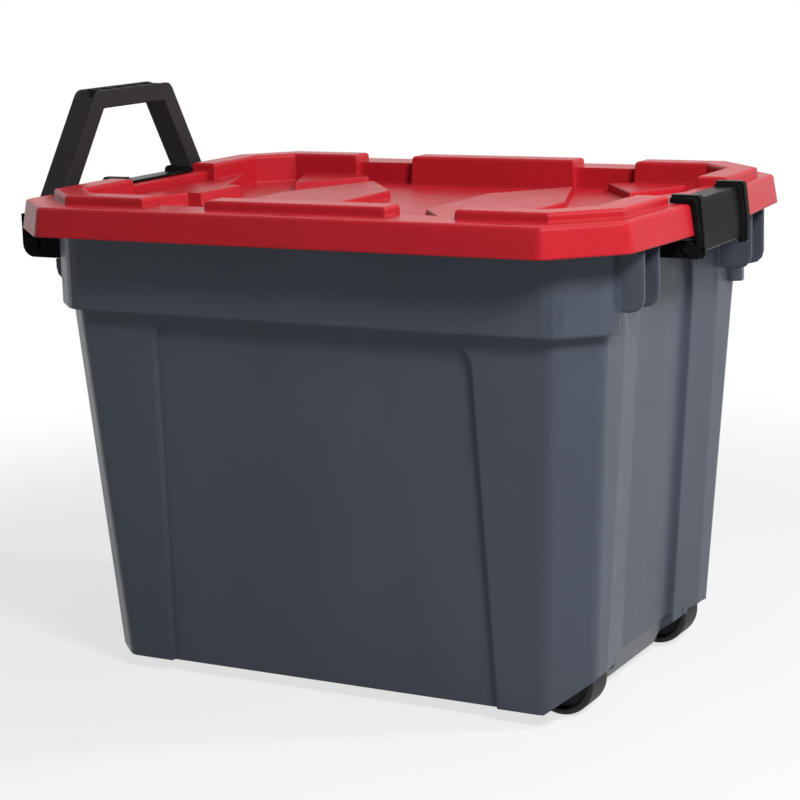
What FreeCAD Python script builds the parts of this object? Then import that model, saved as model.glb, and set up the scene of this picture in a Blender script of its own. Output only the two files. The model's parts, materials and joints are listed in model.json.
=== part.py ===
import FreeCAD, Part
import math
import os
import re
import Sketcher
from FreeCAD import Placement, Rotation, Vector

# Wheeled lift-lid storage box: tapered tub, lift-off lid, a swing latch at each end, a folding pull
# handle at the -X end and two wheels at the +X end.
# Frame: +Z up, floor at z = 0, origin under the middle of the lid, X along the long side. Millimetres.

SIZES = [
    ("lid_length", 600.0),
    ("lid_width", 463.0),
    ("lid_corner", 55.0),
    ("lid_wall", 3.0),
    ("rim_height", 26.0),
    ("rim_draft", 3.5),
    ("rim_round", 4.0),
    ("end_bulge", 8.0),
    ("bulge_half", 70.0),
    ("rim_corner", 12.0),
    ("handle_notch", 9.8),
    ("notch_inset", 40.5),
    ("notch_ramp", 6.0),
    ("side_ledge", 27.5),
    ("end_ledge", 19.0),
    ("block_width", 18.0),
    ("block_rise", 8.0),
    ("block_round", 3.0),
    ("block_reach", 9.0),
    ("pan_shift", 5.0),
    ("block_corner", 46.0),
    ("block_gap_half", 70.0),
    ("mid_block_half", 88.0),
    ("corner_block_start", 152.0),
    ("draft_angle", 4.0),
    ("pan_depth", 20.0),
    ("band_rise", 8.0),
    ("nose_rise", 12.0),
    ("band_draft", 12.0),
    ("dimple_length", 36.0),
    ("dimple_width", 5.0),
    ("dimple_depth", 1.5),
    ("dimple_pitch", 200.0),
    ("base_height", 12.0),
    ("ledge_height", 343.0),
    ("tub_height", 436.0),
    ("end_overhang", 24.0),
    ("side_overhang", 37.5),
    ("end_taper", 22.0),
    ("side_taper", 19.5),
    ("tub_corner", 32.0),
    ("post_round", 14.0),
    ("tub_wall", 3.0),
    ("tub_floor", 3.5),
    ("collar_step", 10.0),
    ("flange_gap", 1.0),
    ("flange_thick", 4.0),
    ("lip_drop", 16.0),
    ("panel_top_margin", 76.0),
    ("panel_base_margin", 45.0),
    ("panel_depth", 4.5),
    ("panel_round", 30.0),
    ("post_width", 23.5),
    ("slope_depth", 6.5),
    ("end_panel_half", 61.0),
    ("end_panel_depth", 12.0),
    ("recess_drop", 25.0),
    ("toe_height", 28.0),
    ("toe_depth", 12.0),
    ("fin_thick", 3.0),
    ("fin_inset", 12.5),
    ("fin_pitch", 32.0),
    ("fin_height", 51.0),
    ("fin_gap", 3.0),
    ("fin_round", 12.0),
    ("foot_length", 30.0),
    ("foot_width", 50.0),
    ("foot_inset", 18.0),
    ("foot_spacing", 150.0),
    ("wheel_radius", 30.0),
    ("wheel_width", 35.0),
    ("wheel_inset", 55.0),
    ("axle_inset", 34.5),
    ("axle_radius", 5.0),
    ("floor_gap", 0.2),
    ("wheel_gap", 3.5),
    ("cheek_thick", 8.0),
    ("arch_height", 25.0),
    ("run_fit", 0.05),
    ("press_fit", 0.02),
    ("latch_half", 61.0),
    ("latch_reach", 22.0),
    ("latch_plate", 2.2),
    ("latch_bead", 2.2),
    ("bead_width", 16.0),
    ("bead_edge", 4.0),
    ("latch_gap", 0.6),
    ("latch_drop", 11.0),
    ("latch_inset", 5.5),
    ("knuckle_radius", 5.5),
    ("foot_drop", 9.0),
    ("ear_radius", 5.5),
    ("ear_thick", 4.0),
    ("side_gap", 0.4),
    ("latch_pin_radius", 2.5),
    ("bracket_plate", 3.0),
    ("bracket_drop", 30.0),
    ("screw_radius", 2.0),
    ("screw_head_radius", 4.5),
    ("screw_head", 2.2),
    ("handle_depth", 24.0),
    ("handle_gap", 1.0),
    ("handle_lean", 2.2),
    ("handle_rise", 92.0),
    ("grip_height", 17.0),
    ("handle_top_half", 62.0),
    ("foot_overlap", 4.0),
    ("handle_arm", 22.0),
    ("handle_round", 13.0),
    ("pivot_inset", 15.5),
    ("pivot_drop", 43.0),
    ("pivot_radius", 4.0),
    ("pivot_head", 7.0),
    ("boss_radius", 12.2),
    ("boss_thick", 6.0),
    ("lug_rise", 28.0),
    ("knee_gap", 1.5),
    ("grip_wall", 2.4),
    ("grip_pocket", 12.0),
    ("pocket_length", 20.0),
]

# Heights and offsets that follow from the driving sizes.
CORNER_SHARE = 0.586
LEDGE_TOP = "(tub_height + lid_wall)"
SKIRT_FOOT = "(tub_height + lid_wall - rim_height)"
PAN_FLOOR = "(tub_height + lid_wall - pan_depth)"
NOTCH_HALF = "(lid_width / 2 - lid_corner - notch_inset)"
TOP_X = "(lid_length / 2 - end_overhang - collar_step)"
TOP_Y = "(lid_width / 2 - side_overhang - collar_step)"
BASE_X = "(lid_length / 2 - end_overhang - collar_step - end_taper)"
BASE_Y = "(lid_width / 2 - side_overhang - collar_step - side_taper)"
COLLAR_X = "(lid_length / 2 - end_overhang)"
COLLAR_Y = "(lid_width / 2 - side_overhang)"
COLLAR_CORNER = "(tub_corner + %s * collar_step)" % CORNER_SHARE
SLOPE_HALF = "(%s - tub_corner - post_width)" % BASE_Y
PANEL_TOP_HALF = "(%s - tub_corner - panel_top_margin)" % TOP_X
PANEL_BASE_HALF = "(%s - tub_corner - panel_base_margin)" % BASE_X
RECESS_TOP = "(tub_height - recess_drop)"
FIN_OUTER = "(%s - %s - fin_inset)" % (COLLAR_Y, COLLAR_CORNER)
FIN_INNER = "(%s - fin_pitch)" % FIN_OUTER
WELL_Y = "(%s - wheel_inset)" % BASE_Y
AXLE_X = "(%s - axle_inset)" % BASE_X
AXLE_Z = "(wheel_radius + floor_gap)"
EAR_HALF = "(end_panel_half - side_gap - bracket_plate / 2)"
LATCH_PIVOT_Z = "(tub_height + lid_wall - rim_height - latch_drop)"
HANDLE_FOOT_HALF = "(%s + foot_overlap)" % NOTCH_HALF
PIVOT_Z = "(tub_height - pivot_drop)"
HANDLE_SHIFT = "(handle_rise + pivot_drop) * tan(handle_lean)"
HANDLE_FACE = "(-(lid_length / 2 - handle_notch + handle_gap + %s))" % HANDLE_SHIFT
PIVOT_X = "(%s - pivot_inset)" % HANDLE_FACE
FUNCTIONS = ("atan", "cos", "sin", "tan")

doc = FreeCAD.newDocument("storage_box")
sheet = doc.addObject("Spreadsheet::Sheet", "dims")
for row, (name, size) in enumerate(SIZES, start=1):
    sheet.set("A%d" % row, name)
    sheet.set("B%d" % row, str(size))
    sheet.setAlias("B%d" % row, name)
doc.recompute()


def formula(text):
    """Turn a size written with bare sheet names into a formula that reads the sheet."""
    def read(match):
        word = match.group(0)
        return word if word in FUNCTIONS else "dims." + word

    return re.sub(r"[a-z_]{3,}", read, text)


def size_of(text):
    return float(sheet.evalExpression(formula(text)))


def new_body(label):
    body = doc.addObject("PartDesign::Body", label)
    body.Label = label
    body.AllowCompound = True
    return body


def plane_of(body, role):
    return [item for item in body.Origin.OriginFeatures if item.Role == role][0]


def new_sketch(body, name, role, lift="0", rise="0", tilt=None, shift="0"):
    """Sketch on an origin plane, moved along its normal by lift, along its y by rise, its x by shift."""
    sketch = body.newObject("Sketcher::SketchObject", name)
    sketch.AttachmentSupport = [(plane_of(body, role), "")]
    sketch.MapMode = "FlatFace"
    if tilt:
        sketch.AttachmentOffset = Placement(Vector(), Rotation(Vector(1, 0, 0), 1))
        sketch.setExpression("AttachmentOffset.Rotation.Angle", formula(tilt))
    sketch.setExpression("AttachmentOffset.Base.z", formula(lift))
    sketch.setExpression("AttachmentOffset.Base.y", formula(rise))
    sketch.setExpression("AttachmentOffset.Base.x", formula(shift))
    return sketch


def pin_points(sketch, places):
    """Fix points of the sketch, each given as geometry, position and a pair of formulas."""
    texts = []
    limits = []
    for geometry, position, point in places:
        for kind, text in zip(("DistanceX", "DistanceY"), point):
            texts.append(text)
            limits.append(Sketcher.Constraint(kind, -1, 1, geometry, position, size_of(text)))
    for index, text in zip(sketch.addConstraint(limits), texts):
        sketch.setExpression("Constraints[%d]" % index, formula(text))


def add_outline(sketch, points):
    """Closed outline through points given as pairs of formulas."""
    first = sketch.GeometryCount
    count = len(points)
    corners = [Vector(size_of(x), size_of(y), 0) for x, y in points]
    lines = [Part.LineSegment(corners[i], corners[(i + 1) % count]) for i in range(count)]
    sketch.addGeometry(lines)
    sketch.addConstraint([Sketcher.Constraint("Coincident", first + i, 2, first + (i + 1) % count, 1)
                          for i in range(count)])
    pin_points(sketch, [(first + i, 1, point) for i, point in enumerate(points)])


def add_box(sketch, x_low, x_high, y_low, y_high):
    add_outline(sketch, [(x_low, y_low), (x_high, y_low), (x_high, y_high), (x_low, y_high)])


def add_circle(sketch, x, y, radius):
    centre = Vector(size_of(x), size_of(y), 0)
    index = sketch.addGeometry(Part.Circle(centre, Vector(0, 0, 1), size_of(radius)))
    pin_points(sketch, [(index, 3, (x, y))])
    limit = sketch.addConstraint(Sketcher.Constraint("Radius", index, size_of(radius)))
    sketch.setExpression("Constraints[%d]" % limit, formula(radius))


def extrude(body, sketch, kind, length, symmetric=False, flip=False, taper=None):
    feature = body.newObject("PartDesign::" + kind, sketch.Name + "_" + kind.lower())
    feature.Profile = sketch
    feature.SideType = "Symmetric" if symmetric else "One side"
    feature.Reversed = flip
    feature.setExpression("Length", formula(length))
    if taper:
        feature.setExpression("TaperAngle", formula(taper))
    sketch.Visibility = False
    doc.recompute()
    return feature


def pad(body, sketch, length, **options):
    return extrude(body, sketch, "Pad", length, **options)


def pocket(body, sketch, length, **options):
    before = body.Shape.Volume
    feature = extrude(body, sketch, "Pocket", length, **options)
    if body.Shape.Volume >= before - 1e-3:
        raise RuntimeError("no material cut by " + feature.Name)
    return feature


def loft(body, kind, lower, *others):
    feature = body.newObject("PartDesign::%sLoft" % kind, lower.Name + "_loft")
    feature.Profile = lower
    feature.Sections = list(others)
    feature.Ruled = True
    doc.recompute()
    return feature


def mirror(body, originals, role):
    feature = body.newObject("PartDesign::Mirrored", originals[0].Name + "_mirror")
    feature.Originals = originals
    feature.MirrorPlane = (plane_of(body, role), [""])
    body.Tip = feature
    doc.recompute()
    return feature


def fillet(body, base, radius, chosen):
    """Round every edge of the base feature that the chosen test accepts."""
    names = ["Edge%d" % (i + 1) for i, edge in enumerate(base.Shape.Edges) if chosen(edge)]
    feature = body.newObject("PartDesign::Fillet", base.Name + "_round")
    feature.Base = (base, names)
    feature.setExpression("Radius", formula(radius))
    body.Tip = feature
    doc.recompute()
    return feature


def ends(edge):
    return [vertex.Point for vertex in edge.Vertexes]


def lies_at(edge, axis, place):
    return all(abs(getattr(point, axis) - place) < 1e-3 for point in ends(edge))


def minus(text):
    return "-(%s)" % text


def both_ways(points):
    """Close a half outline, listed from the -Y side to the +Y side at +X, over to the -X side."""
    return points + [(minus(x), y) for x, y in reversed(points)]


def arc(x, y, radius, start, stop):
    """Corner at (x, y), rounded between the outward directions start and stop in degrees."""
    share = 1 + math.cos(math.radians(stop - start))
    points = []
    for step in range(3):
        turn = math.radians(start + (stop - start) * step / 2)
        shift = []
        for wave in (math.cos, math.sin):
            shift.append(wave(turn) - (wave(math.radians(start)) + wave(math.radians(stop))) / share)
        points.append(tuple("%s + (%s) * (%.5f)" % (place, radius, step_by)
                            for place, step_by in zip((x, y), shift)))
    return points


def cut_corner(half_length, half_width, corner, radius):
    """The +X +Y corner, cut at 45 degrees with both edges of the cut rounded."""
    first = arc(half_length, "%s - (%s)" % (half_width, corner), radius, 0, 45)
    return first + arc("%s - (%s)" % (half_length, corner), half_width, radius, 45, 90)


def across(points):
    """Half outline at +X, from the -Y side to the +Y side, from its part at +Y."""
    return [(x, minus(y)) for x, y in reversed(points)] + points


def corner_outline(half_length, half_width, corner, radius):
    """Rectangle with its four corners cut at 45 degrees and rounded."""
    return both_ways(across(cut_corner(half_length, half_width, corner, radius)))


# Lid


def lid_outline(inset):
    """Lid edge at an inset: bulged at the latch end, notched for the handle at the other end."""
    half_x = "lid_length / 2 - (%s)" % inset
    half_y = "lid_width / 2 - (%s)" % inset
    corner = "lid_corner - %s * (%s)" % (CORNER_SHARE, inset)
    radius = "rim_corner - (%s)" % inset
    rounded = cut_corner(half_x, half_y, corner, radius)
    notch_x = "%s - handle_notch" % half_x
    right = across([("%s + end_bulge" % half_x, "bulge_half")] + rounded)
    left = across([(notch_x, NOTCH_HALF), (half_x, NOTCH_HALF + " + notch_ramp")] + rounded)
    return right + [(minus(x), y) for x, y in reversed(left)]


RING_X = "lid_length / 2 - end_ledge"
RING_Y = "lid_width / 2 - side_ledge"
PAN_X = "lid_length / 2 - end_ledge - block_width"
PAN_Y = "lid_width / 2 - side_ledge - block_width"
PAN_CORNER = "block_corner - %s * block_width" % CORNER_SHARE


BLOCK_FACE_X = "%s - block_reach" % PAN_X
BLOCK_FACE_Y = "%s - block_reach" % PAN_Y


def corner_block(sx, sy, inset="0", bulge="0"):
    """Block round one corner of the pan, from an inset of the ring's outer edge to its inner face."""
    outer_x = "%d * (%s - (%s))" % (sx, RING_X, inset)
    outer_y = "%d * (%s - (%s))" % (sy, RING_Y, inset)
    outer_cut = "(block_corner - %s * (%s))" % (CORNER_SHARE, inset)
    inner_x = "%d * (%s)" % (sx, BLOCK_FACE_X)
    inner_y = "%d * (%s)" % (sy, BLOCK_FACE_Y)
    inner_cut = "(%s - %s * block_reach)" % (PAN_CORNER, CORNER_SHARE)
    start = "%d * corner_block_start" % sx
    gap = "%d * block_gap_half" % sy
    return [(start, outer_y), ("%s - %d * %s" % (outer_x, sx, outer_cut), outer_y),
            (outer_x, "%s - %d * %s" % (outer_y, sy, outer_cut)),
            ("%s + %s" % (outer_x, bulge), gap), (inner_x, gap),
            (inner_x, "%s - %d * %s" % (inner_y, sy, inner_cut)),
            ("%s - %d * %s" % (inner_x, sx, inner_cut), inner_y), (start, inner_y)]


def middle_block(sy, inset="0"):
    """Block at the middle of one long side, from an inset of the ring's outer edge to its inner face."""
    outer_y = "%d * (%s - (%s))" % (sy, RING_Y, inset)
    inner_y = "%d * (%s)" % (sy, BLOCK_FACE_Y)
    return [("-mid_block_half", inner_y), ("mid_block_half", inner_y), ("mid_block_half", outer_y),
            ("-mid_block_half", outer_y)]


def scaled(points, sx=1, sy=1):
    """Points of the raised pattern, given as shares of the pan's half length and half width."""
    return [("%s * (%s)" % (sx * x, PAN_X), "%s * (%s)" % (sy * y, PAN_Y)) for x, y in points]


# Raised pattern of the pan: a six-sided plate each side of the middle, a wedge by each long wall near
# the corners and a nosed step at each end.
PLATE = [(0.19, 0.33), (0.41, 0.72), (0.57, 0.11), (0.57, -0.11), (0.41, -0.72), (0.19, -0.33)]
WEDGE = [(0.83, 0.99), (0.57, 0.99), (0.49, 0.88), (0.68, 0.52)]
NOSE = [(0.99, 0.80), (0.82, 0.20), (0.76, 0.20), (0.76, -0.20), (0.82, -0.20), (0.99, -0.80)]

lid = new_body("lid")
skirt_low = new_sketch(lid, "skirt_low", "XY_Plane", SKIRT_FOOT)
add_outline(skirt_low, lid_outline("0"))
rim_sections = []
for turn in range(0, 91, 30):
    level = new_sketch(lid, "rim_edge", "XY_Plane", "%s - rim_round * (1 - sin(%d))" % (LEDGE_TOP, turn))
    add_outline(level, lid_outline("rim_draft + rim_round * (1 - cos(%d))" % turn))
    rim_sections.append(level)
loft(lid, "Additive", skirt_low, *rim_sections)
under_low = new_sketch(lid, "under_low", "XY_Plane", SKIRT_FOOT)
add_outline(under_low, lid_outline("lid_wall"))
under_high = new_sketch(lid, "under_high", "XY_Plane", "tub_height")
add_outline(under_high, lid_outline("rim_draft + lid_wall"))
loft(lid, "Subtractive", under_low, under_high)
pan_shell = new_sketch(lid, "pan_shell", "XY_Plane", "tub_height + lid_wall / 2", shift="pan_shift")
add_outline(pan_shell, corner_outline("%s + lid_wall" % PAN_X, "%s + lid_wall" % PAN_Y,
                                      "%s + %s * lid_wall" % (PAN_CORNER, CORNER_SHARE),
                                      "rim_corner + lid_wall"))
pad(lid, pan_shell, "pan_depth + lid_wall / 2", flip=True)
pan = new_sketch(lid, "pan", "XY_Plane", LEDGE_TOP + " + 1", shift="pan_shift")
add_outline(pan, corner_outline(PAN_X, PAN_Y, PAN_CORNER, "rim_corner"))
pocket(lid, pan, "pan_depth + 1")
# Blocks round the pan: they rise from the ledge, and their inner part stands on the floor of the pan.
blocks = new_sketch(lid, "blocks", "XY_Plane", LEDGE_TOP, shift="pan_shift")
block_feet = new_sketch(lid, "block_feet", "XY_Plane", LEDGE_TOP, shift="pan_shift")
FOOT_INSET = "block_width - 1"
for side_y in (-1, 1):
    for side_x, bulge in ((-1, "0"), (1, "(end_bulge - pan_shift)")):
        add_outline(blocks, corner_block(side_x, side_y, bulge=bulge))
        add_outline(block_feet, corner_block(side_x, side_y, FOOT_INSET))
    add_outline(blocks, middle_block(side_y))
    add_outline(block_feet, middle_block(side_y, FOOT_INSET))
pad(lid, blocks, "block_rise", taper="-draft_angle")
feet_pad = pad(lid, block_feet, "pan_depth", flip=True, taper="draft_angle")
block_top = size_of(LEDGE_TOP + " + block_rise")
fillet(lid, feet_pad, "block_round", lambda edge: lies_at(edge, "z", block_top))
bands = new_sketch(lid, "bands", "XY_Plane", PAN_FLOOR, shift="pan_shift")
noses = new_sketch(lid, "noses", "XY_Plane", PAN_FLOOR, shift="pan_shift")
for side_x in (-1, 1):
    add_outline(bands, scaled(PLATE, side_x))
    add_outline(noses, scaled(NOSE, side_x))
    for side_y in (-1, 1):
        add_outline(bands, scaled(WEDGE, side_x, side_y))
pad(lid, bands, "band_rise", taper="-band_draft")
pad(lid, noses, "nose_rise", taper="-band_draft")
dimples = new_sketch(lid, "dimples", "XY_Plane", LEDGE_TOP)
for side_y in (-1, 1):
    row_y = "%d * (lid_width / 2 - rim_draft - rim_round - dimple_width)" % side_y
    for step in (-1, 0, 1):
        middle = "(pan_shift + %d * dimple_pitch)" % step
        add_outline(dimples, [("%s - dimple_length / 2" % middle, row_y),
                              (middle, "%s - dimple_width / 2" % row_y),
                              ("%s + dimple_length / 2" % middle, row_y),
                              (middle, "%s + dimple_width / 2" % row_y)])
pocket(lid, dimples, "dimple_depth")


# Tub


def end_half(half_length, half_width, corner, radius, inset="0", panel=None, flush=None):
    """Half of a tub section with a shallow sloped recess in its end; inset moves it inwards by a wall.

    A flush end keeps the recess at another half length and steps out to the corners beside the fins.
    """
    half_x = "%s - (%s)" % (half_length, inset)
    half_y = "%s - (%s)" % (half_width, inset)
    cut = "%s - %s * (%s)" % (corner, CORNER_SHARE, inset)
    end_x = "%s - (%s)" % (flush or half_length, inset)
    step_y = "end_panel_half + (%s)" % inset
    rising = [("%s - end_panel_depth" % end_x, "%s - 1" % step_y), ("%s - slope_depth" % end_x, step_y),
              (end_x, SLOPE_HALF)]
    if flush:
        rising += [(end_x, FIN_OUTER + " - 2 * fin_thick"), (half_x, FIN_OUTER)]
    rising += cut_corner(half_x, half_y, cut, "%s - (%s)" % (radius, inset))
    if panel:
        rising += [("%s + (%s) + panel_depth" % (panel, inset), half_y),
                   ("%s + (%s)" % (panel, inset), "%s - panel_depth" % half_y)]
    return across(rising)


def collar_outline(inset="0"):
    """Collar section: flush with the tub below at the wheel end, stepped out at the handle end."""
    right = end_half(*COLLAR, inset=inset, flush=TOP_X)
    left = end_half(*COLLAR, inset=inset)
    return right + [(minus(x), y) for x, y in reversed(left)]


BASE_HALF = (BASE_X, BASE_Y, "tub_corner", "post_round")
TOP_HALF = (TOP_X, TOP_Y, "tub_corner", "post_round")
COLLAR = (COLLAR_X, COLLAR_Y, COLLAR_CORNER, "(post_round + collar_step)")
PANEL_TILT = "atan(side_taper / (ledge_height - base_height))"

tub = new_body("tub")
shell_low = new_sketch(tub, "shell_low", "XY_Plane", "base_height")
add_outline(shell_low, both_ways(end_half(*BASE_HALF)))
shell_high = new_sketch(tub, "shell_high", "XY_Plane", "ledge_height")
add_outline(shell_high, both_ways(end_half(*TOP_HALF)))
loft(tub, "Additive", shell_low, shell_high)
collar_low = new_sketch(tub, "collar_low", "XY_Plane", "ledge_height")
add_outline(collar_low, collar_outline())
pad(tub, collar_low, "%s - ledge_height" % RECESS_TOP)
collar_high = new_sketch(tub, "collar_high", "XY_Plane", RECESS_TOP)
add_outline(collar_high, corner_outline(*COLLAR))
pad(tub, collar_high, "tub_height - %s" % RECESS_TOP)

FLANGE_INSET = "(rim_draft + lid_wall + flange_gap)"
FLANGE = ("lid_length / 2 - handle_notch - %s" % FLANGE_INSET, "lid_width / 2 - %s" % FLANGE_INSET,
          "lid_corner - %s * %s" % (CORNER_SHARE, FLANGE_INSET), "rim_corner - %s" % FLANGE_INSET)
LIP = ("%s - tub_wall" % FLANGE[0], "%s - tub_wall" % FLANGE[1],
       "%s - %s * tub_wall" % (FLANGE[2], CORNER_SHARE), "%s - tub_wall" % FLANGE[3])
flange = new_sketch(tub, "flange", "XY_Plane", "tub_height")
add_outline(flange, corner_outline(*FLANGE))
pad(tub, flange, "flange_thick", flip=True)
lip = new_sketch(tub, "lip", "XY_Plane", "tub_height")
add_outline(lip, corner_outline(*FLANGE))
add_outline(lip, corner_outline(*LIP))
pad(tub, lip, "lip_drop", flip=True)

panel_sketch = new_sketch(tub, "side_panel", "XZ_Plane", "%s - panel_depth" % BASE_Y, "base_height",
                          PANEL_TILT)
PANEL_HEIGHT = "(ledge_height - base_height) / cos(%s) - 2" % PANEL_TILT
panel_edge = [(PANEL_BASE_HALF, "-5")]
for turn in range(0, 91, 15):
    panel_edge.append(("%s - panel_round * (1 - cos(%d))" % (PANEL_TOP_HALF, turn),
                       "%s - panel_round * (1 - sin(%d))" % (PANEL_HEIGHT, turn)))
add_outline(panel_sketch, both_ways(panel_edge))
side_panel = pocket(tub, panel_sketch, "4 * panel_depth", flip=True)
mirror(tub, [side_panel], "XZ_Plane")

cavity_low = new_sketch(tub, "cavity_low", "XY_Plane", "base_height + tub_floor")
add_outline(cavity_low, both_ways(end_half(*BASE_HALF, inset="tub_wall", panel=PANEL_BASE_HALF)))
cavity_high = new_sketch(tub, "cavity_high", "XY_Plane", "ledge_height + tub_wall")
add_outline(cavity_high, both_ways(end_half(*TOP_HALF, inset="tub_wall", panel=PANEL_TOP_HALF)))
loft(tub, "Subtractive", cavity_low, cavity_high)
mouth_low = new_sketch(tub, "mouth_low", "XY_Plane", "%s + tub_wall" % RECESS_TOP)
add_outline(mouth_low, collar_outline("tub_wall"))
pocket(tub, mouth_low, "%s - ledge_height" % RECESS_TOP)
mouth_high = new_sketch(tub, "mouth_high", "XY_Plane", "tub_height + 1")
add_outline(mouth_high, corner_outline("%s - tub_wall" % COLLAR_X, "%s - tub_wall" % COLLAR_Y,
                                       "%s - %s * tub_wall" % (COLLAR_CORNER, CORNER_SHARE),
                                       "%s - tub_wall" % COLLAR[3]))
pocket(tub, mouth_high, "tub_height + 1 - %s - tub_wall" % RECESS_TOP)

# Gusset fins under the rim, in pairs beside the latches; those at the handle end stop under its bracket.
BRACKET_FOOT = "(tub_height + lid_wall - rim_height - 2 - bracket_drop)"
FIN_TOP = "(tub_height + lid_wall - rim_height - 2)"
FIN_FOOT = FIN_TOP + " - fin_height"
FIN_TIP = "(lid_length / 2 - fin_gap)"


def fin_outline(root, tip, top):
    edge = [(root, FIN_FOOT)]
    for turn in range(0, 91, 30):
        edge.append(("%s - fin_round * (1 - sin(%d))" % (tip, turn),
                     "%s + fin_round * (1 - cos(%d))" % (FIN_FOOT, turn)))
    return edge + [(tip, top), (root, top)]


fins = []
for place in (FIN_INNER, FIN_OUTER):
    right_fin = fin_outline("%s - tub_wall" % TOP_X, FIN_TIP, FIN_TOP)
    left_fin = fin_outline("%s - tub_wall" % COLLAR_X, "%s + fin_round" % COLLAR_X,
                           BRACKET_FOOT + " - 1")
    for outline in (right_fin, [(minus(x), z) for x, z in left_fin]):
        fin = new_sketch(tub, "fin", "XZ_Plane", place)
        add_outline(fin, outline)
        fins.append(pad(tub, fin, "fin_thick", symmetric=True))
mirror(tub, fins, "XZ_Plane")

# Wheel wells in the two base corners of the wheel end, with slots for the axles.
WELL_HALF = "(wheel_width / 2 + wheel_gap)"
WELL_RADIUS = "(wheel_radius + wheel_gap)"
WELL_TOP = "(wheel_radius + floor_gap + wheel_radius + wheel_gap)"
CHEEK_INNER = "(%s - wheel_width / 2 - wheel_gap - cheek_thick)" % WELL_Y

well_box = new_sketch(tub, "well_box", "XY_Plane", "base_height")
well_x = "%s - %s - tub_wall" % (AXLE_X, WELL_RADIUS)
wall_x = "%s - tub_wall / 2" % BASE_X
wall_y = "%s - tub_wall / 2" % BASE_Y
add_outline(well_box, [(well_x, CHEEK_INNER), (wall_x, CHEEK_INNER),
                       (wall_x, "%s - tub_corner" % BASE_Y),
                       ("%s - tub_corner" % BASE_X, wall_y), (well_x, wall_y)])
well_block = pad(tub, well_box, "%s + tub_wall - base_height" % WELL_TOP)


def toe_wedge(name, depth, lift):
    """Sketch of the wedge that thickens the base edge of the wheel end behind a wall at a depth."""
    sketch = new_sketch(tub, name, "XZ_Plane", lift)
    face = "%s - %s - tub_wall / 2" % (BASE_X, depth)
    top = "2 * toe_height"
    top_x = "%s + end_taper * %s / (ledge_height - base_height)" % (face, top)
    add_outline(sketch, [("%s - end_panel_depth - toe_height" % BASE_X, "base_height"),
                         (face, "base_height"), (top_x, "base_height + " + top)])
    return sketch


pad(tub, toe_wedge("toe_fill", "end_panel_depth", "0"), "2 * end_panel_half", symmetric=True)
post_fill = pad(tub, toe_wedge("post_fill", "slope_depth", "-(%s + end_panel_half) / 2" % CHEEK_INNER),
                "%s - end_panel_half + 2" % CHEEK_INNER, symmetric=True)
well = new_sketch(tub, "well", "XZ_Plane", minus(WELL_Y))
well_edge = [("%s - %s" % (AXLE_X, WELL_RADIUS), "-1")]
for turn in range(180, 14, -15):
    well_edge.append(("%s + %s * cos(%d)" % (AXLE_X, WELL_RADIUS, turn),
                      "%s + %s * sin(%d)" % (AXLE_Z, WELL_RADIUS, turn)))
well_edge.append(("2 * %s" % BASE_X, "base_height + arch_height"))
well_edge.append(("2 * %s" % BASE_X, "-1"))
add_outline(well, well_edge)
well_cut = pocket(tub, well, "2 * %s" % WELL_HALF, symmetric=True)
arch = new_sketch(tub, "arch", "XZ_Plane", "-end_panel_half")
add_outline(arch, [("%s - tub_corner - tub_wall" % BASE_X, "base_height - 1"),
                   (BASE_X, "base_height + arch_height"), ("2 * %s" % BASE_X, "base_height + arch_height"),
                   ("2 * %s" % BASE_X, "base_height - 1")])
arch_cut = pocket(tub, arch, "2 * %s" % BASE_Y)
slot = new_sketch(tub, "axle_slot", "XZ_Plane", minus(WELL_Y))
slot_edge = [("%s - axle_radius - press_fit" % AXLE_X, "-1")]
for turn in range(180, -1, -15):
    slot_edge.append(("%s + (axle_radius + press_fit) / cos(7.5) * cos(%d)" % (AXLE_X, turn),
                      "%s + (axle_radius + press_fit) / cos(7.5) * sin(%d)" % (AXLE_Z, turn)))
slot_edge.append(("%s + axle_radius + press_fit" % AXLE_X, "-1"))
add_outline(slot, slot_edge)
slot_cut = pocket(tub, slot, "2 * (%s + cheek_thick - tub_wall)" % WELL_HALF, symmetric=True)
mirror(tub, [well_block, post_fill, well_cut, arch_cut, slot_cut], "XZ_Plane")
toe = new_sketch(tub, "toe", "XZ_Plane")
add_outline(toe, [("%s - end_panel_depth - toe_depth" % BASE_X, "base_height - 1"),
                  ("%s - end_panel_depth + 1" % BASE_X, "base_height + toe_height"),
                  ("2 * %s" % BASE_X, "base_height + toe_height"),
                  ("2 * %s" % BASE_X, "base_height - 1")])
pocket(tub, toe, "2 * end_panel_half", symmetric=True)

# Skid feet under the handle end hold the base level with the wheels.
feet = new_sketch(tub, "feet", "XY_Plane")
for side_y in (-1, 1):
    low = "%d * foot_spacing / 2 - foot_width / 2" % side_y
    add_box(feet, "foot_inset - %s" % BASE_X, "foot_inset + foot_length - %s" % BASE_X, low,
            "%s + foot_width" % low)
pad(tub, feet, "base_height + tub_floor / 2")


# Latches


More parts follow.
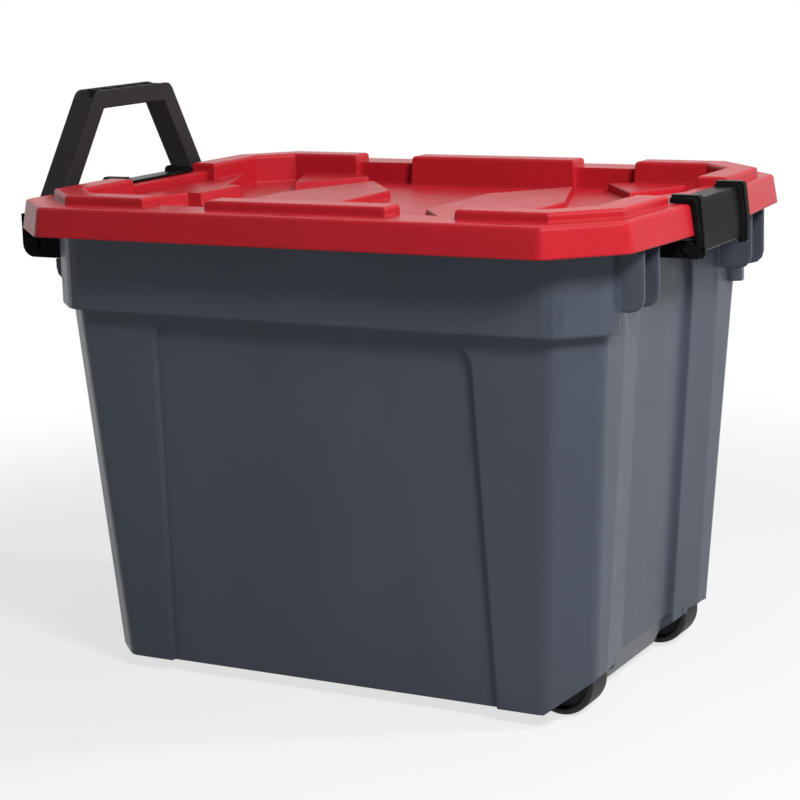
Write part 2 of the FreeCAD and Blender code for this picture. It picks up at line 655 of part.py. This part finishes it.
def build_latch(label, side, rim_edge, drop):
    """C-shaped clip that hooks over the rim, beaded along both sides, with a barrel below it."""
    x = lambda text: "%d * (%s)" % (side, text)
    gap_x = "%s + latch_gap" % rim_edge
    pivot_x = "%s - latch_inset" % rim_edge
    hook_x = "%s - latch_reach" % rim_edge
    under = "%s + latch_gap" % LEDGE_TOP
    body = new_body(label)

    def clip(name, thick, inner, outer):
        """Hook and front plate of a given thickness between two distances from the middle."""
        sketch = new_sketch(body, label + name, "XZ_Plane", "(%s + %s) / 2" % (inner, outer))
        face = "%s + %s" % (gap_x, thick)
        add_outline(sketch, [(x(hook_x), under), (x("%s - rim_draft" % gap_x), under),
                             (x(gap_x), SKIRT_FOOT), (x(gap_x), LATCH_PIVOT_Z),
                             (x(face), LATCH_PIVOT_Z), (x(face), SKIRT_FOOT),
                             (x("%s - rim_draft" % face), "%s + %s - latch_plate" % (under, thick)),
                             (x("%s - rim_draft - latch_plate" % face), "%s + %s" % (under, thick)),
                             (x(hook_x), "%s + %s" % (under, thick))])
        return pad(body, sketch, "%s - %s" % (outer, inner), symmetric=True)

    def foot(name, start, thick, low, inner, outer):
        """Lower end of the clip, from a start inwards of the plate to its face."""
        sketch = new_sketch(body, label + name, "XZ_Plane", "(%s + %s) / 2" % (inner, outer))
        face = "%s + %s" % (gap_x, thick)
        low_z = "%s - %s" % (LATCH_PIVOT_Z, low)
        add_outline(sketch, [(x(start), low_z), (x("%s - latch_plate" % face), low_z),
                             (x(face), "%s + latch_plate" % low_z), (x(face), "%s + 1" % LATCH_PIVOT_Z),
                             (x(start), "%s + 1" % LATCH_PIVOT_Z)])
        return pad(body, sketch, "%s - %s" % (outer, inner), symmetric=True)

    def barrel(name, inner, outer):
        sketch = new_sketch(body, label + name, "XZ_Plane", "(%s + %s) / 2" % (inner, outer))
        add_circle(sketch, x(pivot_x), LATCH_PIVOT_Z, "knuckle_radius")
        return pad(body, sketch, "%s - %s" % (outer, inner), symmetric=True)

    ear_inner = "(%s - ear_thick - side_gap)" % EAR_HALF
    ear_outer = "(%s + side_gap)" % EAR_HALF
    bead_inner = "(latch_half - bead_width)"
    low_bead = "(latch_plate + latch_bead)"
    high_bead = "(latch_plate + 2 * latch_bead)"
    clip("_clip", "latch_plate", "-latch_half", "latch_half")
    foot("_lip", pivot_x, "latch_plate", "knuckle_radius", minus(ear_inner), ear_inner)
    barrel("_barrel", minus(ear_inner), ear_inner)
    sides = [clip("_bead", low_bead, bead_inner, "latch_half"),
             clip("_crest", high_bead, "(%s + bead_edge)" % bead_inner, "(latch_half - bead_edge)"),
             foot("_bead_foot", gap_x, low_bead, drop, bead_inner, ear_inner),
             foot("_crest_foot", gap_x, high_bead, drop, "(%s + bead_edge)" % bead_inner, ear_inner),
             foot("_cheek_foot", pivot_x, low_bead, drop, ear_outer, "latch_half"),
             barrel("_cheek", ear_outer, "latch_half")]
    mirror(body, sides, "XZ_Plane")
    bore = new_sketch(body, label + "_bore", "XZ_Plane")
    add_circle(bore, x(pivot_x), LATCH_PIVOT_Z, "latch_pin_radius + run_fit")
    pocket(body, bore, "2 * %s" % ear_inner, symmetric=True)
    return body


def build_latch_pin(label, side, rim_edge):
    body = new_body(label)
    rod = new_sketch(body, label + "_rod", "XZ_Plane")
    add_circle(rod, "%d * (%s - latch_inset)" % (side, rim_edge), LATCH_PIVOT_Z, "latch_pin_radius")
    pad(body, rod, "2 * %s" % EAR_HALF, symmetric=True)
    return body


def add_latch_ears(body, side, rim_edge, root):
    """Two ears that carry the latch pin, reaching out from the bracket's plate on a deep web."""
    x = lambda text: "%d * (%s)" % (side, text)
    pivot_x = "%s - latch_inset" % rim_edge
    web_x = "%s - latch_gap" % pivot_x
    web_z = "%s - foot_drop" % LATCH_PIVOT_Z
    place = "%s - ear_thick / 2" % EAR_HALF
    arm = new_sketch(body, body.Name + "_ear", "XZ_Plane", place)
    low_z = "%s - ear_radius" % LATCH_PIVOT_Z
    high_z = "%s + ear_radius" % LATCH_PIVOT_Z
    add_outline(arm, [(x(pivot_x), low_z), (x(pivot_x), high_z), (x(root), high_z), (x(root), web_z),
                      (x(web_x), web_z), (x(web_x), low_z)])
    arm_pad = pad(body, arm, "ear_thick", symmetric=True)
    tip = new_sketch(body, body.Name + "_ear_tip", "XZ_Plane", place)
    add_circle(tip, x(pivot_x), LATCH_PIVOT_Z, "ear_radius")
    tip_pad = pad(body, tip, "ear_thick", symmetric=True)
    mirror(body, [arm_pad, tip_pad], "XZ_Plane")
    bore = new_sketch(body, body.Name + "_ear_bore", "XZ_Plane")
    add_circle(bore, x(pivot_x), LATCH_PIVOT_Z, "latch_pin_radius + press_fit")
    pocket(body, bore, "2 * latch_half + 2", symmetric=True)


def add_screw_holes(body, side, seat, places):
    holes = new_sketch(body, body.Name + "_holes", "YZ_Plane", "%d * (%s)" % (side, seat))
    for y, z in places:
        add_circle(holes, y, z, "screw_radius + press_fit")
    pocket(body, holes, "4 * bracket_plate", symmetric=True)


def build_screws(label, side, seat, places):
    """Pan-head screws through the bracket plate into the tub wall."""
    body = new_body(label)
    face = "%d * (%s + bracket_plate)" % (side, seat)
    heads = new_sketch(body, label + "_heads", "YZ_Plane", face)
    shanks = new_sketch(body, label + "_shanks", "YZ_Plane", face)
    for y, z in places:
        add_circle(heads, y, z, "screw_head_radius")
        add_circle(shanks, y, z, "screw_radius")
    pad(body, heads, "screw_head", flip=side < 0)
    pad(body, shanks, "bracket_plate + tub_wall", flip=side > 0)
    return body


RIGHT_EDGE = "lid_length / 2 + end_bulge"
LEFT_EDGE = "lid_length / 2 - handle_notch"
RIGHT_SEAT = "(%s - end_panel_depth)" % TOP_X
LEFT_SEAT = COLLAR_X
PLATE_TOP = "(%s - 1)" % RECESS_TOP
RIGHT_SCREWS = [("-latch_half / 2", LATCH_PIVOT_Z), ("latch_half / 2", LATCH_PIVOT_Z)]
LEFT_SCREW_Y = "(%s - handle_arm / 2)" % HANDLE_FOOT_HALF
LEFT_SCREWS = [(sign + LEFT_SCREW_Y, "%s %s" % (BRACKET_FOOT, step))
               for sign in ("-", "") for step in ("+ 8", "+ 19")]

latch_right = build_latch("latch_right", 1, RIGHT_EDGE, "foot_drop")
latch_left = build_latch("latch_left", -1, LEFT_EDGE, "latch_plate")
latch_pin_right = build_latch_pin("latch_pin_right", 1, RIGHT_EDGE)
latch_pin_left = build_latch_pin("latch_pin_left", -1, LEFT_EDGE)

bracket_right = new_body("latch_bracket_right")
plate_right = new_sketch(bracket_right, "plate_right", "YZ_Plane", RIGHT_SEAT)
add_box(plate_right, "-" + EAR_HALF, EAR_HALF, "%s - foot_drop" % LATCH_PIVOT_Z, PLATE_TOP)
pad(bracket_right, plate_right, "bracket_plate")
add_latch_ears(bracket_right, 1, RIGHT_EDGE, RIGHT_SEAT)

# Pull handle with its bracket and pivot pins

EAR_OUTER = "(%s + side_gap)" % HANDLE_FOOT_HALF
EAR_INNER = "(%s - handle_arm - side_gap - boss_thick)" % HANDLE_FOOT_HALF

bracket_left = new_body("handle_bracket")
plate_left = new_sketch(bracket_left, "plate_left", "YZ_Plane", minus(LEFT_SEAT))
PLATE_HALF = "(%s + boss_thick)" % EAR_OUTER
add_box(plate_left, minus(PLATE_HALF), PLATE_HALF, BRACKET_FOOT, PLATE_TOP)
pad(bracket_left, plate_left, "bracket_plate", flip=True)
add_latch_ears(bracket_left, -1, LEFT_EDGE, LEFT_SEAT)
lugs = []
for place in (EAR_OUTER, EAR_INNER):
    middle = "%s + boss_thick / 2" % place
    lug = new_sketch(bracket_left, "lug", "XZ_Plane", middle)
    add_box(lug, PIVOT_X, minus(LEFT_SEAT), "%s - boss_radius" % PIVOT_Z, "%s + boss_radius" % PIVOT_Z)
    lugs.append(pad(bracket_left, lug, "boss_thick", symmetric=True))
    lug_end = new_sketch(bracket_left, "lug_end", "XZ_Plane", middle)
    add_circle(lug_end, PIVOT_X, PIVOT_Z, "boss_radius")
    lugs.append(pad(bracket_left, lug_end, "boss_thick", symmetric=True))
lug_guard = new_sketch(bracket_left, "lug_guard", "XZ_Plane", "%s + boss_thick / 2" % EAR_OUTER)
add_box(lug_guard, "%s - boss_radius" % PIVOT_X, "-(lid_length / 2 + handle_gap)", PIVOT_Z,
        "%s + lug_rise" % PIVOT_Z)
lugs.append(pad(bracket_left, lug_guard, "boss_thick", symmetric=True))
mirror(bracket_left, lugs, "XZ_Plane")
lug_bore = new_sketch(bracket_left, "lug_bore", "XZ_Plane")
add_circle(lug_bore, PIVOT_X, PIVOT_Z, "pivot_radius + press_fit")
pocket(bracket_left, lug_bore, "lid_width", symmetric=True)

# The handle leans in over the lid a little, so its frame is drawn from the pivot up on a tilted plane.
HANDLE_TOP = "(handle_rise + pivot_drop)"
FOOT_Z = "-handle_depth / 2"
KNEE_Z = "(boss_radius + knee_gap)"
WINDOW_TOP = "(%s - grip_height)" % HANDLE_TOP
ARM_INNER = "(%s - handle_arm)" % HANDLE_FOOT_HALF
GRIP_HALF = "(handle_top_half - handle_arm / 2)"
handle = new_body("pull_handle")
handle_sketch = new_sketch(handle, "handle_frame", "YZ_Plane", HANDLE_FACE, PIVOT_Z, "handle_lean")
outer_edge = [(ARM_INNER, FOOT_Z), (HANDLE_FOOT_HALF, FOOT_Z), (HANDLE_FOOT_HALF, KNEE_Z),
              ("handle_top_half", HANDLE_TOP)]
inner_edge = [(GRIP_HALF, WINDOW_TOP), (ARM_INNER, KNEE_Z)]
far_outer = [(minus(y), z) for y, z in reversed(outer_edge)]
far_inner = [(minus(y), z) for y, z in reversed(inner_edge)]
add_outline(handle_sketch, outer_edge + far_outer + far_inner + inner_edge)
handle_pad = pad(handle, handle_sketch, "handle_depth", flip=True)
pivot_z = size_of(PIVOT_Z)


def runs_through(edge, place):
    """True for an edge across the handle's depth at a distance from the middle, above the pivots."""
    first, last = ends(edge)
    return abs(first.y - last.y) < 1e-3 and abs(abs(first.y) - place) < 1e-3 and first.z > pivot_z


feet_round = fillet(handle, handle_pad, "handle_depth / 2 - 0.1",
                    lambda edge: all(point.z < pivot_z for point in ends(edge))
                    and abs(ends(edge)[0].x - ends(edge)[1].x) < 1e-3)
crown_y = size_of("handle_top_half")
window_y = size_of(GRIP_HALF)
crown = fillet(handle, feet_round, "handle_round", lambda edge: runs_through(edge, crown_y))
fillet(handle, crown, "handle_round / 4", lambda edge: runs_through(edge, window_y))
handle_bore = new_sketch(handle, "handle_bore", "XZ_Plane")
add_circle(handle_bore, PIVOT_X, PIVOT_Z, "pivot_radius + run_fit")
pocket(handle, handle_bore, "lid_width", symmetric=True)
grip = new_sketch(handle, "grip_pockets", "XY_Plane", "%s + %s + 1" % (PIVOT_Z, HANDLE_TOP))
grip_face = "%s + %s * tan(handle_lean)" % (HANDLE_FACE, HANDLE_TOP)
for step in range(-3, 3):
    start = "%d * (pocket_length + grip_wall) + grip_wall / 2" % step
    add_box(grip, "%s - handle_depth + grip_wall" % grip_face, "%s - grip_wall" % grip_face, start,
            "%s + pocket_length" % start)
pocket(handle, grip, "grip_pocket + 1")


def build_pivot_pin(label, side):
    body = new_body(label)
    rod_start = "%d * (%s)" % (side, EAR_OUTER + " + boss_thick")
    rod = new_sketch(body, label + "_rod", "XZ_Plane", minus(rod_start))
    add_circle(rod, PIVOT_X, PIVOT_Z, "pivot_radius")
    pad(body, rod, "handle_arm + 2 * boss_thick + 2 * side_gap", flip=side < 0)
    head = new_sketch(body, label + "_head", "XZ_Plane", minus(rod_start))
    add_circle(head, PIVOT_X, PIVOT_Z, "pivot_head")
    pad(body, head, "screw_head", flip=side > 0)
    return body


pivot_pin_front = build_pivot_pin("handle_pin_front", -1)
pivot_pin_back = build_pivot_pin("handle_pin_back", 1)

add_screw_holes(bracket_right, 1, RIGHT_SEAT, RIGHT_SCREWS)
add_screw_holes(bracket_left, -1, LEFT_SEAT, LEFT_SCREWS)
add_screw_holes(tub, 1, RIGHT_SEAT, RIGHT_SCREWS)
add_screw_holes(tub, -1, LEFT_SEAT, LEFT_SCREWS)
screws_right = build_screws("latch_bracket_screws", 1, RIGHT_SEAT, RIGHT_SCREWS)
screws_left = build_screws("handle_bracket_screws", -1, LEFT_SEAT, LEFT_SCREWS)


# Wheels and axles


def build_wheel(label, side):
    """Moulded wheel with a dished face each side of its hub."""
    body = new_body(label)
    profile = new_sketch(body, label + "_profile", "YZ_Plane", AXLE_X, AXLE_Z)
    middle = "%d * %s" % (side, WELL_Y)
    low = "%s - wheel_width / 2" % middle
    high = "%s + wheel_width / 2" % middle
    dish = "wheel_width / 5"
    hub = "axle_radius * 2"
    rim = "wheel_radius * 0.8"
    bore = "axle_radius + run_fit"
    edge = "wheel_radius / 15"
    low_dish = "%s + %s" % (low, dish)
    high_dish = "%s - %s" % (high, dish)
    shoulder = "wheel_radius - %s" % edge
    add_outline(profile, [(low, bore), (low, hub), (low_dish, hub), (low_dish, rim), (low, rim),
                          (low, shoulder), ("%s + %s" % (low, edge), "wheel_radius"),
                          ("%s - %s" % (high, edge), "wheel_radius"), (high, shoulder),
                          (high, rim), (high_dish, rim), (high_dish, hub), (high, hub), (high, bore)])
    feature = body.newObject("PartDesign::Revolution", label + "_turned")
    feature.Profile = profile
    feature.ReferenceAxis = (profile, ["H_Axis"])
    feature.Angle = 360
    doc.recompute()
    return body


def build_axle(label, side):
    body = new_body(label)
    rod = new_sketch(body, label + "_rod", "XZ_Plane", "%d * %s" % (-side, WELL_Y))
    add_circle(rod, AXLE_X, AXLE_Z, "axle_radius")
    pad(body, rod, "2 * (%s + cheek_thick - tub_wall)" % WELL_HALF, symmetric=True)
    return body


def build_keepers(label, side):
    """Two plugs that close the mouths of one axle's slots under the axle."""
    body = new_body(label)
    for end in (-1, 1):
        middle = "%d * %s + %d * (%s + (cheek_thick - tub_wall) / 2)" % (side, WELL_Y, end, WELL_HALF)
        plug = new_sketch(body, label + "_plug", "XZ_Plane", minus(middle))
        add_box(plug, "%s - axle_radius" % AXLE_X, "%s + axle_radius" % AXLE_X, "base_height + 2",
                "%s - axle_radius" % AXLE_Z)
        pad(body, plug, "cheek_thick - tub_wall", symmetric=True)
    return body


wheel_front = build_wheel("wheel_front", -1)
wheel_back = build_wheel("wheel_back", 1)
axle_front = build_axle("axle_front", -1)
axle_back = build_axle("axle_back", 1)
keepers_front = build_keepers("axle_keepers_front", -1)
keepers_back = build_keepers("axle_keepers_back", 1)

doc.recompute()
for item in doc.Objects:
    if "Invalid" in item.State or "Error" in item.State:
        raise RuntimeError("%s is %s" % (item.Name, item.State))

NODES = [tub, lid, latch_right, latch_left, latch_pin_right, latch_pin_left, bracket_right, bracket_left,
         screws_right, screws_left, handle, pivot_pin_front, pivot_pin_back, wheel_front, wheel_back,
         axle_front, axle_back, keepers_front, keepers_back]
os.makedirs("parts", exist_ok=True)
for node in NODES:
    if node.Shape.isNull() or not node.Shape.isValid():
        raise RuntimeError(node.Label + " has no valid shape")
    print("%-24s solids %d volume %.0f" % (node.Label, len(node.Shape.Solids), node.Shape.Volume))
    node.Shape.exportStep("parts/%s.step" % node.Label)
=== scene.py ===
import json
import math

import bpy
from mathutils import Matrix, Vector

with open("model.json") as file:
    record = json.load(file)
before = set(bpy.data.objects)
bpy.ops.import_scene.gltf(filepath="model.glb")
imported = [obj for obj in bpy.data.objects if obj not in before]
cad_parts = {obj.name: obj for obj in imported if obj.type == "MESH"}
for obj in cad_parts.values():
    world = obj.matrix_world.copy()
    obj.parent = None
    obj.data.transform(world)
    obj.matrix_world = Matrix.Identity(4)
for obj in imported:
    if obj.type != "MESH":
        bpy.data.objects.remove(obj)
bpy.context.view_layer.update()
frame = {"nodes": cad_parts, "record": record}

scene = bpy.context.scene
scene.view_settings.view_transform = "Standard"

# Camera of the photograph: where it stands, where it looks and how far it leans, in metres and degrees.
CAMERA_PLACE = Vector((0.98334, -1.82632, 0.66952))
CAMERA_AZIMUTH = 28.505
CAMERA_ELEVATION = 11.73
CAMERA_ROLL = -1.666
CAMERA_LENS = 101.936
CAMERA_SENSOR = 36.0

# Linear colours of the mouldings.
SLATE = (0.058, 0.069, 0.092)
SLATE_WORN = (0.13, 0.15, 0.175)
RED = (0.43, 0.0125, 0.0205)
RED_WORN = (0.52, 0.07, 0.08)
BLACK = (0.007, 0.007, 0.0075)
BLACK_WORN = (0.05, 0.05, 0.052)
# Paler black for the handle: painted light standing in for the light its arms catch.
PAINTED_LIT_BLACK = (0.026, 0.024, 0.026)
TYRE = (0.010, 0.010, 0.010)
STEEL = (0.42, 0.42, 0.43)

# Refraction of the plastics, and the width in metres over which their edges wear pale.
PLASTIC_IOR = 1.49
WEAR_WIDTH = 0.0025

# Radius of the moulded edges of each node, in metres, with the rest at a small machined break. The lid and
# the handle keep the edges of their solids.
EDGE_ROUND = {"tub": 0.0022, "lid": 0.0, "pull_handle": 0.0, "handle_bracket": 0.001,
              "latch_bracket_right": 0.001, "wheel_front": 0.0012, "wheel_back": 0.0012}
FINE_ROUND = 0.0003
SHARP_ANGLE = math.radians(36.0)
FLAT_ANGLE = math.radians(0.6)
WELD_REACH = 1e-5

# White surroundings, dim as a light, and a pale floor whose white grows with the distance from the middle.
WORLD_LIGHT = 0.03
FLOOR_GREY = 0.70
FLOOR_DROP = 0.0002
FLOOR_SIZE = 60.0
FLOOR_WHITE = (0.72, 1.0)
FLOOR_FADE = (0.55, 1.30)

# Lamps: name, place, target and size in metres, power in watts.
LAMPS = [
    ("sun_right", (1.894, 0.643, 1.874), (0.2, 0.0, 0.3), (0.25, 0.25), 29.0),
    ("fill_corner", (1.28, -0.92, 1.45), (0.2, -0.1, 0.3), (0.45, 0.45), 33.0),
    ("top", (0.1, 0.3, 2.4), (0.0, 0.0, 0.4), (1.6, 1.2), 9.0),
]


def link(tree, source, target):
    tree.links.new(source, target)


def node(tree, kind, **values):
    """Add a shader node; names starting with in_ set its inputs, the rest its properties."""
    made = tree.nodes.new(kind)
    for key, value in values.items():
        if key.startswith("in_"):
            made.inputs[key[3:].replace("_", " ")].default_value = value
        else:
            setattr(made, key, value)
    return made


def ramp(tree, source, low, high, made=(0.0, 1.0), curve="LINEAR"):
    """Map a value between two limits to two others."""
    mapped = node(tree, "ShaderNodeMapRange", clamp=True, interpolation_type=curve, in_From_Min=low,
                  in_From_Max=high, in_To_Min=made[0], in_To_Max=made[1])
    link(tree, source, mapped.inputs["Value"])
    return mapped.outputs["Result"]


def mix_colour(tree, factor, first, second):
    """Blend two colours, each a tuple or another node's output."""
    made = node(tree, "ShaderNodeMix", data_type="RGBA")
    for index, value in ((6, first), (7, second)):
        if isinstance(value, tuple):
            made.inputs[index].default_value = (*value, 1.0)
        else:
            link(tree, value, made.inputs[index])
    link(tree, factor, made.inputs[0])
    return made.outputs[2]


def noise(tree, scale, detail=4.0, roughness=0.55, stretch=(1.0, 1.0, 1.0)):
    """Noise in object space, so that it stays put when a piece moves."""
    place = node(tree, "ShaderNodeTexCoord")
    spread = node(tree, "ShaderNodeMapping", in_Scale=stretch)
    link(tree, place.outputs["Object"], spread.inputs["Vector"])
    made = node(tree, "ShaderNodeTexNoise", in_Scale=scale, in_Detail=detail, in_Roughness=roughness)
    link(tree, spread.outputs["Vector"], made.inputs["Vector"])
    return made.outputs["Fac"]


def edge_mask(tree, width):
    """1 along sharp edges and 0 on flats, from how far a bevelled normal leaves the face normal."""
    soft = node(tree, "ShaderNodeBevel", samples=4, in_Radius=width)
    flat = node(tree, "ShaderNodeNewGeometry")
    dot = node(tree, "ShaderNodeVectorMath", operation="DOT_PRODUCT")
    link(tree, soft.outputs["Normal"], dot.inputs[0])
    link(tree, flat.outputs["Normal"], dot.inputs[1])
    return ramp(tree, dot.outputs["Value"], 0.995, 0.90)


def multiply(tree, first, second):
    """Product of an output and a number or another output."""
    made = node(tree, "ShaderNodeMath", operation="MULTIPLY")
    link(tree, first, made.inputs[0])
    if isinstance(second, float):
        made.inputs[1].default_value = second
    else:
        link(tree, second, made.inputs[1])
    return made.outputs["Value"]


def new_material(name):
    material = bpy.data.materials.new(name)
    material.use_nodes = True
    return material, material.node_tree, material.node_tree.nodes["Principled BSDF"]


def moulded(name, colour, worn, rough, shine, corner, grain, depth, blotch, wear=0.55,
            stretch=(1.0, 1.0, 1.0)):
    """Moulded plastic: cloudy colour, scuffs that change the gloss, a fine grain, paler edges."""
    material, tree, shader = new_material(name)
    cloud = ramp(tree, noise(tree, 9.0, stretch=stretch), 0.35, 0.65)
    darker = tuple(c * (1.0 - blotch) for c in colour)
    lighter = tuple(c * (1.0 + blotch) for c in colour)
    tint = mix_colour(tree, cloud, darker, lighter)
    scuff = ramp(tree, noise(tree, 46.0, 8.0, 0.7), 0.52, 0.80)
    edge = multiply(tree, multiply(tree, edge_mask(tree, WEAR_WIDTH), scuff), wear)
    link(tree, mix_colour(tree, edge, tint, worn), shader.inputs["Base Color"])
    gloss = ramp(tree, noise(tree, 28.0, 6.0, 0.62), 0.0, 1.0, (rough - 0.07, rough + 0.09))
    link(tree, gloss, shader.inputs["Roughness"])
    shader.inputs["IOR"].default_value = PLASTIC_IOR
    shader.inputs["Specular IOR Level"].default_value = shine
    soft = node(tree, "ShaderNodeBevel", samples=6, in_Radius=corner)
    bump = node(tree, "ShaderNodeBump", in_Strength=0.35, in_Distance=depth)
    link(tree, soft.outputs["Normal"], bump.inputs["Normal"])
    link(tree, noise(tree, grain, 3.0, 0.5), bump.inputs["Height"])
    waves = node(tree, "ShaderNodeBump", in_Strength=0.25, in_Distance=0.0008)
    link(tree, noise(tree, 11.0, 2.0, 0.4), waves.inputs["Height"])
    link(tree, bump.outputs["Normal"], waves.inputs["Normal"])
    link(tree, waves.outputs["Normal"], shader.inputs["Normal"])
    return material


def drawn_steel(name, colour, rough):
    """Plain drawn steel with fine lines along the bar and faint dull spots."""
    material, tree, shader = new_material(name)
    shader.inputs["Metallic"].default_value = 1.0
    spots = ramp(tree, noise(tree, 160.0, 6.0, 0.6), 0.35, 0.7)
    dull = tuple(c * 0.7 for c in colour)
    link(tree, mix_colour(tree, spots, colour, dull), shader.inputs["Base Color"])
    lines = noise(tree, 420.0, 3.0, 0.6, (1.0, 0.06, 1.0))
    gloss = ramp(tree, lines, 0.0, 1.0, (rough - 0.08, rough + 0.15))
    link(tree, gloss, shader.inputs["Roughness"])
    bump = node(tree, "ShaderNodeBump", in_Strength=0.2, in_Distance=0.00005)
    link(tree, lines, bump.inputs["Height"])
    link(tree, bump.outputs["Normal"], shader.inputs["Normal"])
    return material


MATERIALS = {
    "tub_plastic": moulded("tub_slate", SLATE, SLATE_WORN, rough=0.36, shine=0.20, corner=0.004, grain=900.0,
                           depth=0.00018, blotch=0.07, stretch=(1.0, 1.0, 0.4)),
    "lid_plastic": moulded("lid_red", RED, RED_WORN, rough=0.32, shine=0.14, corner=0.003, grain=1100.0,
                           depth=0.00030, blotch=0.06),
    "black_plastic": moulded("fitting_black", BLACK, BLACK_WORN, rough=0.24, shine=0.018, corner=0.0018,
                             grain=1000.0, depth=0.00010, blotch=0.12),
    "wheel_plastic": moulded("wheel_black", TYRE, BLACK_WORN, rough=0.55, shine=0.30, corner=0.0015,
                             grain=700.0, depth=0.0003, blotch=0.15, wear=0.8),
    "steel": drawn_steel("plain_steel", STEEL, rough=0.34),
}
# The handle takes a greyer black than the latches, painted lighter to stand in for the light its arms catch.
OWN_MATERIALS = {
    "pull_handle": moulded("handle_black", PAINTED_LIT_BLACK, BLACK_WORN, rough=0.40, shine=0.06, corner=0.0024,
                           grain=1000.0, depth=0.00010, blotch=0.12),
}


def soften(piece, radius):
    """Weld the imported faces, then round the sharp edges of the moulding."""
    weld = piece.modifiers.new("weld", "WELD")
    weld.merge_threshold = WELD_REACH
    flats = piece.modifiers.new("flats", "DECIMATE")
    flats.decimate_type = "DISSOLVE"
    flats.angle_limit = FLAT_ANGLE
    bevel = piece.modifiers.new("edges", "BEVEL")
    bevel.width = radius
    bevel.segments = 3
    bevel.limit_method = "ANGLE"
    bevel.angle_limit = SHARP_ANGLE
    bevel.use_clamp_overlap = True
    bevel.harden_normals = True
    bevel.miter_outer = "MITER_ARC"
    smooth = piece.modifiers.new("normals", "WEIGHTED_NORMAL")
    smooth.keep_sharp = True


slots = {row["node"]: row["material_slot"] for row in frame["record"]["subparts"]}
for name, piece in frame["nodes"].items():
    piece.data.materials.clear()
    piece.data.materials.append(OWN_MATERIALS.get(name, MATERIALS[slots[name]]))
    radius = EDGE_ROUND.get(name, FINE_ROUND)
    if radius:
        soften(piece, radius)


def seen_by_eye(tree):
    """1 for rays that show the surroundings to the camera, directly, mirrored or through glass."""
    path = node(tree, "ShaderNodeLightPath")
    seen = path.outputs["Is Camera Ray"]
    for name in ("Is Glossy Ray", "Is Transmission Ray"):
        either = node(tree, "ShaderNodeMath", operation="MAXIMUM")
        link(tree, seen, either.inputs[0])
        link(tree, path.outputs[name], either.inputs[1])
        seen = either.outputs["Value"]
    return seen


def stage_floor():
    """Pale floor that turns white away from the object and keeps its shadow."""
    bpy.ops.mesh.primitive_plane_add(size=FLOOR_SIZE, location=(0.0, 0.0, -FLOOR_DROP))
    floor = bpy.context.object
    floor.name = "floor"
    material, tree, shader = new_material("floor_pale")
    shader.inputs["Base Color"].default_value = (FLOOR_GREY, FLOOR_GREY, FLOOR_GREY, 1.0)
    shader.inputs["Roughness"].default_value = 0.9
    shader.inputs["Specular IOR Level"].default_value = 0.1
    place = node(tree, "ShaderNodeTexCoord")
    far = node(tree, "ShaderNodeVectorMath", operation="LENGTH")
    link(tree, place.outputs["Object"], far.inputs[0])
    white = ramp(tree, far.outputs["Value"], *FLOOR_FADE, FLOOR_WHITE, "SMOOTHSTEP")
    glow = node(tree, "ShaderNodeEmission", in_Strength=1.0)
    blend = node(tree, "ShaderNodeMixShader")
    link(tree, multiply(tree, white, seen_by_eye(tree)), blend.inputs[0])
    link(tree, shader.outputs["BSDF"], blend.inputs[1])
    link(tree, glow.outputs["Emission"], blend.inputs[2])
    link(tree, blend.outputs["Shader"], tree.nodes["Material Output"].inputs["Surface"])
    floor.data.materials.append(material)


def surroundings():
    """White world for the camera, dimmer as a light."""
    world = bpy.data.worlds.new("studio")
    scene.world = world
    world.use_nodes = True
    tree = world.node_tree
    back = tree.nodes["Background"]
    back.inputs["Color"].default_value = (1.0, 1.0, 1.0, 1.0)
    link(tree, ramp(tree, seen_by_eye(tree), 0.0, 1.0, (WORLD_LIGHT, 1.0)), back.inputs["Strength"])


def lamp(name, place, target, size, power):
    """Square or oblong lamp that faces its target."""
    data = bpy.data.lights.new(name, "AREA")
    data.shape = "RECTANGLE"
    data.size, data.size_y = size
    data.energy = power
    made = bpy.data.objects.new(name, data)
    scene.collection.objects.link(made)
    made.location = place
    made.rotation_euler = (Vector(target) - Vector(place)).to_track_quat("-Z", "Y").to_euler()


def photo_camera():
    """Camera at the photograph's place and angle."""
    data = bpy.data.cameras.new("camera")
    data.sensor_width = CAMERA_SENSOR
    data.lens = CAMERA_LENS
    camera = bpy.data.objects.new("camera", data)
    scene.collection.objects.link(camera)
    azimuth = math.radians(CAMERA_AZIMUTH)
    elevation = math.radians(CAMERA_ELEVATION)
    backward = Vector((math.sin(azimuth) * math.cos(elevation), -math.cos(azimuth) * math.cos(elevation),
                       math.sin(elevation)))
    level = backward.to_track_quat("Z", "Y").to_matrix()
    turned = level @ Matrix.Rotation(math.radians(CAMERA_ROLL), 3, "Z")
    camera.matrix_world = Matrix.Translation(CAMERA_PLACE) @ turned.to_4x4()
    scene.camera = camera


stage_floor()
surroundings()
for row in LAMPS:
    lamp(*row)
photo_camera()
